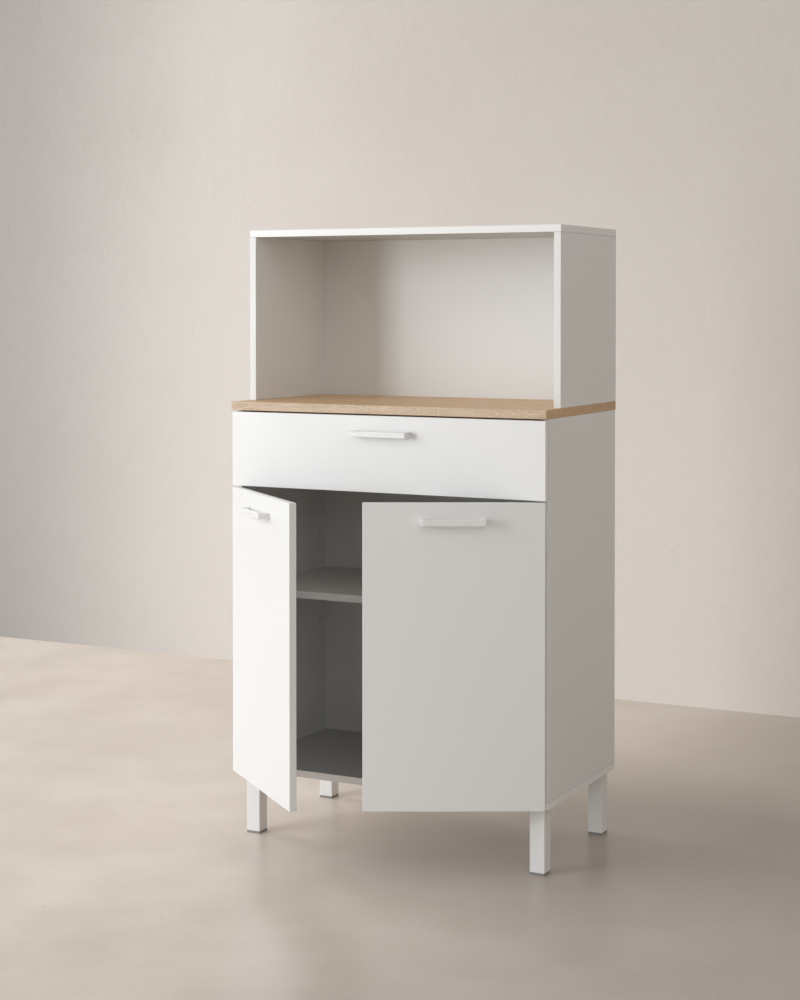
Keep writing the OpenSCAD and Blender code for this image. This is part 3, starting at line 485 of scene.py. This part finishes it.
dress(coat_finish("white runner coat", (0.80, 0.80, 0.785), rough=0.3, grain=600),
      "left_case_runner", "right_case_runner", "left_drawer_runner", "right_drawer_runner")


# ---- Plastic pieces ----
# Moulded feet plugged into the legs, caps over the screws in the roof, nylon rollers on the
# runners' axles, and soft pads stuck where the doors and the drawer's front close.

def moulded_finish(name, color, rough, **sockets):
    """Moulded plastic with the fine texture of its mould."""
    material, tree, shader, place = finish(name, ior=1.46, **sockets)
    tree.links.new(blended(tree, noise(tree, place, scale=35), color,
                           [0.93 * part for part in color]), shader.inputs["Base Color"])
    texture = noise(tree, place, scale=500, detail=3, roughness=0.6)
    tree.links.new(between(tree, texture, 0.3, 0.7, start=rough - 0.05, end=rough + 0.05),
                   shader.inputs["Roughness"])
    raised(tree, shader, texture, depth=0.00004, strength=0.5)
    return material


dress(moulded_finish("grey foot plastic", (0.28, 0.28, 0.27), rough=0.5), "leg_feet")
dress(moulded_finish("white cap plastic", (0.80, 0.80, 0.785), rough=0.35), "screw_caps")
dress(moulded_finish("nylon", (0.74, 0.74, 0.70), rough=0.4, subsurface_weight=0.15,
                     subsurface_radius=(0.002, 0.002, 0.0016), subsurface_scale=1.0),
      "case_rollers", "drawer_rollers")
dress(moulded_finish("soft clear pad", (0.72, 0.73, 0.72), rough=0.25, transmission_weight=0.4),
      "front_bumpers")


# ---- Metal fittings ----
# Pressed and turned steel. The hinges with their screws, the doors' handle screws and the
# shelf pins have a bright nickel plate, and all that is hidden or plainer has zinc.

def plated_finish(name, color, rough):
    """Plated steel, with the faint lines of its drawing and a few duller patches."""
    material, tree, shader, place = finish(name, metallic=1.0)
    lines = noise(tree, mapped(tree, place, scale=(1, 1, 14)), scale=420, detail=4, roughness=0.6)
    dull = noise(tree, place, scale=90, detail=3, roughness=0.6)
    tree.links.new(blended(tree, dull, color, [0.94 * part for part in color]),
                   shader.inputs["Base Color"])
    tree.links.new(between(tree, shares(tree, (lines, 0.5), (dull, 0.5)), 0.35, 0.65,
                           start=rough - 0.03, end=rough + 0.04), shader.inputs["Roughness"])
    raised(tree, shader, lines, depth=0.00002, strength=0.25)
    return material


nickel = plated_finish("bright nickel plate", (0.84, 0.83, 0.81), rough=0.27)
for side in ("left", "right"):
    dress(nickel, *[f"{side}_hinge_{piece}" for piece in ("cups", "links", "arms", "plates")],
          side + "_cup_screws", side + "_handle_screws")
dress(nickel, "hinge_plate_screws", "shelf_pins")
dress(plated_finish("zinc plate", (0.74, 0.75, 0.77), rough=0.34),
      "leg_inserts", "runner_screws", "drawer_runner_screws", "drawer_handle_screws",
      "drawer_cams", "drawer_cam_bolts", "drawer_back_screws", "case_screws", "worktop_cams",
      "worktop_cam_bolts", "back_nails")


# ---- Adjusting screws of the hinges ----
# Two small plated machine screws in the web of each hinge's arm, with cross recesses. The flat
# one in front shifts the door sideways, and the pan head behind it clamps the arm to its plate.

# Radius and height of each ring of a screw, from its top down.
FLAT_SCREW = [(0.0021, 0), (0.0023, -0.0002), (0.0023, -0.0012), (0.0018, -0.0014),
              (0.0018, -0.0075)]
PAN_SCREW = [(0.0024, 0), (0.0032, -0.0003), (0.0037, -0.0009), (0.0038, -0.0016),
             (0.0038, -0.0019), (0.0022, -0.0019), (0.0022, -0.0029)]

# Each screw's distance from the arm's rear end, and how far its top stands above the web.
SCREWS_OF_AN_ARM = ((FLAT_SCREW, 0.039, 0.0002), (PAN_SCREW, 0.019, 0.0019))
ARM_HALF = 0.0075        # half the width of an arm
SLOT_REACH = 0.8         # how far a recess reaches from the axis, as a share of the top's radius
SLOT_HALF = 0.0004       # half the width of its slots
SLOT_DEPTH = 0.0011      # depth of the recess
SLOT_TAPER = 0.72        # width of its floor, as a share of its mouth's
SLOT_TURN = 0.4          # how far a screw is turned about its axis, in radians


def cross_headed(profile):
    """A screw along Z with its top at 0: a sunk cross, and below its rim the profile's rings."""
    shape = bmesh.new()
    top_radius = profile[0][0]
    reach = SLOT_REACH * top_radius
    bmesh.ops.create_circle(shape, cap_ends=True, segments=48, radius=top_radius)
    for offset in (-reach, -SLOT_HALF, SLOT_HALF, reach):
        for across in ((1, 0, 0), (0, 1, 0)):
            bmesh.ops.bisect_plane(shape, geom=shape.verts[:] + shape.edges[:] + shape.faces[:],
                                   plane_co=[offset * part for part in across], plane_no=across)
    ring = [edge for edge in shape.edges if edge.is_boundary]
    cross = []
    for face in shape.faces:
        near, far = sorted(abs(part) for part in face.calc_center_median()[:2])
        if near < SLOT_HALF and far < reach:
            cross.append(face)
    for (radius, height), (radius_above, height_above) in zip(profile[1:], profile):
        made = bmesh.ops.extrude_edge_only(shape, edges=ring)["geom"]
        verts = [part for part in made if isinstance(part, bmesh.types.BMVert)]
        ring = [part for part in made if isinstance(part, bmesh.types.BMEdge) and part.is_boundary]
        share = radius / radius_above
        bmesh.ops.scale(shape, verts=verts, vec=(share, share, 1))
        bmesh.ops.translate(shape, verts=verts, vec=(0, 0, height - height_above))
    bmesh.ops.holes_fill(shape, edges=ring)
    sunk = bmesh.ops.extrude_face_region(shape, geom=cross)["geom"]
    bmesh.ops.delete(shape, geom=cross, context="FACES_KEEP_BOUNDARY")
    floor = [part for part in sunk if isinstance(part, bmesh.types.BMVert)]
    bmesh.ops.translate(shape, verts=floor, vec=(0, 0, -SLOT_DEPTH))
    bmesh.ops.scale(shape, verts=floor, vec=(SLOT_TAPER, SLOT_TAPER, 1))
    bmesh.ops.recalc_face_normals(shape, faces=shape.faces)
    return shape


adjusters = bmesh.new()
for side, outwards in (("left", 1), ("right", -1)):
    low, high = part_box(side + "_hinge_arms")
    web = high.x if outwards > 0 else low.x
    sideways = Matrix.Rotation(outwards * math.pi / 2, 4, "Y")
    for height in (low.z + ARM_HALF, high.z - ARM_HALF):
        for profile, from_rear, proud in SCREWS_OF_AN_ARM:
            screw = cross_headed(profile)
            seat = Matrix.Translation((web + outwards * proud, high.y - from_rear, height))
            turned = sideways @ Matrix.Rotation(SLOT_TURN, 4, "Z")
            bmesh.ops.transform(screw, matrix=seat @ turned, verts=screw.verts)
            one = bpy.data.meshes.new("adjusting screw")
            screw.to_mesh(one)
            screw.free()
            adjusters.from_mesh(one)
            bpy.data.meshes.remove(one)
mesh = bpy.data.meshes.new("hinge_adjusting_screws")
adjusters.to_mesh(mesh)
adjusters.free()
mesh.materials.append(nickel)
hinge_adjusting_screws = bpy.data.objects.new("hinge_adjusting_screws", mesh)
bpy.context.scene.collection.objects.link(hinge_adjusting_screws)
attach(hinge_adjusting_screws, "case")


# ---- Dowels ----
# Turned beech pins with their grain along them, glued into the joints of the case and the
# hutch, where nothing of them shows.

def beech_finish():
    """Beech with its grain upright, as all the dowels stand."""
    material, tree, shader, place = finish("beech", roughness=0.6)
    grain = noise(tree, mapped(tree, place, scale=(1, 1, 0.08)), scale=700, detail=4)
    tree.links.new(blended(tree, grain, (0.60, 0.42, 0.26), (0.72, 0.54, 0.36)),
                   shader.inputs["Base Color"])
    return material


dress(beech_finish(), "case_dowels")


# ---- Room ----
# A pale polished floor and a plain plastered wall behind the cabinet. The wall has no
# back, so that the cabinet can be seen from behind.

WALL_Y = 1.58
WALL_HEIGHT = 4
ROOM_REACH = 9


def flat_sheet(name, corners, material):
    """One flat face of the room."""
    mesh = bpy.data.meshes.new(name)
    shape = bmesh.new()
    shape.faces.new([shape.verts.new(corner) for corner in corners])
    shape.to_mesh(mesh)
    shape.free()
    mesh.materials.append(material)
    sheet = bpy.data.objects.new(name, mesh)
    bpy.context.scene.collection.objects.link(sheet)


def floor_finish():
    """Warm grey cement, pitted and softly clouded, with painted shade to the right and by the
    right legs.
    """
    material, tree, shader, place = finish("polished floor", ior=1.5)
    clouds = noise(tree, place, scale=1.1, detail=4, roughness=0.55, distortion=0.3)
    stains = noise(tree, place, scale=5.5, detail=3)
    grain = noise(tree, place, scale=110, roughness=0.6)
    shade = shares(tree, (between(tree, clouds, 0.3, 0.7), 0.5),
                   (between(tree, stains, 0.3, 0.7), 0.35),
                   (between(tree, grain, 0.35, 0.65), 0.15))
    plain = blended(tree, shade, (0.70, 0.60, 0.52), (0.88, 0.79, 0.71))
    pits = add(tree, "TexVoronoi", {"Vector": place, "Scale": 11.0, "Randomness": 1.0})
    pitted = sums(tree, "MULTIPLY",
                  between(tree, pits.outputs["Distance"], 0.02, 0.035, start=1, end=0),
                  between(tree, stains, 0.45, 0.55))
    worn = blended(tree, sums(tree, "MULTIPLY", pitted, 0.5), plain, (0.22, 0.18, 0.15))
    # Painted shade grows towards the right, and a painted shadow lies round a spot beside the
    # right rear legs.
    across = add(tree, "SeparateXYZ", {"Vector": place}).outputs["X"]
    painted_shade_right = blended(tree, between(tree, across, -0.5, 0.9, start=0, end=0.36), worn, (0, 0, 0))
    from_legs = vectors(tree, "LENGTH", vectors(tree, "SUBTRACT", place, (0.4, 0.3, 0)))
    painted_shadow = between(tree, from_legs, 0.15, 0.8, start=0.25, end=0)
    tree.links.new(blended(tree, painted_shadow, painted_shade_right, (0, 0, 0)), shader.inputs["Base Color"])
    tree.links.new(between(tree, stains, 0.3, 0.7, start=0.3, end=0.4),
                   shader.inputs["Roughness"])
    raised(tree, shader, noise(tree, place, scale=5), depth=0.0006, strength=0.2)
    return material


def wall_finish():
    """Trowelled plaster, with painted light low down and painted shade far left, and clear from
    behind.
    """
    material, tree, shader, place = finish("plaster", roughness=0.85)
    clouds = noise(tree, place, scale=1.1, detail=5, roughness=0.6)
    trowel = noise(tree, place, scale=34, detail=6, roughness=0.7)
    strokes = noise(tree, place, scale=9, detail=4, roughness=0.6, distortion=0.6)
    plain = blended(tree, between(tree, clouds, 0.3, 0.7), (0.67, 0.62, 0.575),
                    (0.71, 0.665, 0.625))
    parts = add(tree, "SeparateXYZ", {"Vector": place}).outputs
    # Painted light brightens the wall low down, and painted shade dims its far left.
    painted_light_low = blended(tree, between(tree, parts["Z"], 0.1, 2.0, start=0.75, end=0), plain,
                      (0.84, 0.80, 0.76))
    painted_shade_left = between(tree, parts["X"], -2.5, -1.2, start=0.55, end=0)
    tree.links.new(blended(tree, painted_shade_left, painted_light_low, (0, 0, 0)), shader.inputs["Base Color"])
    raised(tree, shader, sums(tree, "ADD", trowel, strokes), depth=0.004, strength=0.5)
    behind = add(tree, "NewGeometry").outputs["Backfacing"]
    clear = add(tree, "BsdfTransparent").outputs[0]
    shown = add(tree, "MixShader", {0: behind, 1: shader.outputs[0], 2: clear})
    tree.links.new(shown.outputs[0], tree.nodes["Material Output"].inputs["Surface"])
    return material


flat_sheet("floor", [(-ROOM_REACH, -ROOM_REACH, 0), (ROOM_REACH, -ROOM_REACH, 0),
                     (ROOM_REACH, ROOM_REACH, 0), (-ROOM_REACH, ROOM_REACH, 0)], floor_finish())
flat_sheet("wall", [(-ROOM_REACH, WALL_Y, 0), (ROOM_REACH, WALL_Y, 0),
                    (ROOM_REACH, WALL_Y, WALL_HEIGHT), (-ROOM_REACH, WALL_Y, WALL_HEIGHT)],
           wall_finish())


# ---- Light ----
# Cool daylight from three wide soft windows on the left, a warm glow on the wall beside the
# cabinet, a weak warm light from the front right, and an even one from all round.

WARM = (1.0, 0.965, 0.92)


def soft_light(name, place, aim, size, power, color):
    """A lit rectangle that isn't seen itself."""
    light = bpy.data.lights.new(name, "AREA")
    light.shape = "RECTANGLE"
    light.size, light.size_y = size
    light.energy = power
    light.color = color
    lamp = bpy.data.objects.new(name, light)
    lamp.location = place
    lamp.rotation_euler = (Vector(aim) - Vector(place)).to_track_quat("-Z", "Y").to_euler()
    lamp.visible_camera = False
    bpy.context.scene.collection.objects.link(lamp)


soft_light("near window", place=(-2.45, -3.75, 1.25), aim=(0, 0, 0.7), size=(0.8, 2.2),
           power=54, color=(0.93, 0.97, 1.0))
soft_light("far window", place=(-3.1, -2.6, 2.0), aim=(0, 0, 0.6), size=(2.0, 2.4),
           power=62, color=(0.92, 0.965, 1.0))
soft_light("side window", place=(-3.6, 0.75, 1.8), aim=(0, 0.75, 0.3), size=(1.2, 1.8),
           power=32, color=(0.97, 0.98, 1.0))
soft_light("pale wall", place=(0.9, 0.55, 0.7), aim=(0.9, 1.55, 0.7), size=(1.6, 1.0),
           power=1.4, color=WARM)
soft_light("far room", place=(2.3, -2.6, 2.6), aim=(0, 0, 0.8), size=(2.4, 2.4),
           power=18, color=WARM)

world = bpy.data.worlds.new("room light")
world.use_nodes = True
background = world.node_tree.nodes["Background"]
background.inputs["Color"].default_value = (1.0, 0.97, 0.925, 1)
background.inputs["Strength"].default_value = 0.415
bpy.context.scene.world = world
